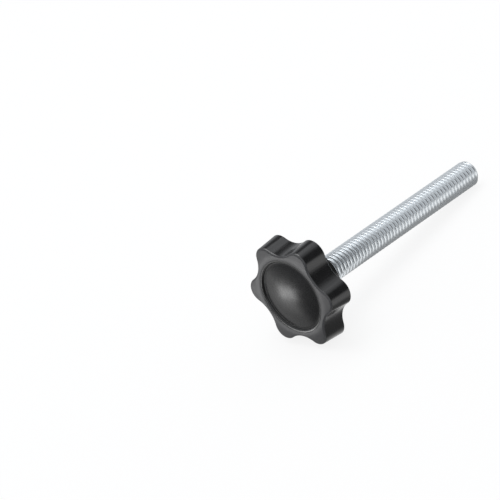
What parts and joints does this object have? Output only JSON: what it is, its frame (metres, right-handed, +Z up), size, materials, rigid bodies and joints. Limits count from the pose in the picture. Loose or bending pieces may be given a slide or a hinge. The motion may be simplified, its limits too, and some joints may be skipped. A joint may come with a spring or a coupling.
{
  "type": "star knob",
  "caption": "Small lobed hand knob in black moulded plastic with a domed recessed face and a long zinc-plated threaded stud, for clamping by hand.",
  "frame": {"origin": "on the floor under the centre of the knob's box, as it lies at rest on two lobes and the stud's tip", "axes": "+X runs along the floor from the head towards the stud's tip, +Z is up, and the knob is symmetric about Y = 0"},
  "size_m": [0.0606, 0.0248, 0.0225],
  "materials": {
    "head_plastic": "black moulded plastic with a fine satin texture",
    "stud_steel": "bright zinc plating over steel"
  },
  "bodies": {
    "root": {"star_head": "head_plastic", "threaded_stud": "stud_steel"}
  },
  "joints": []
}
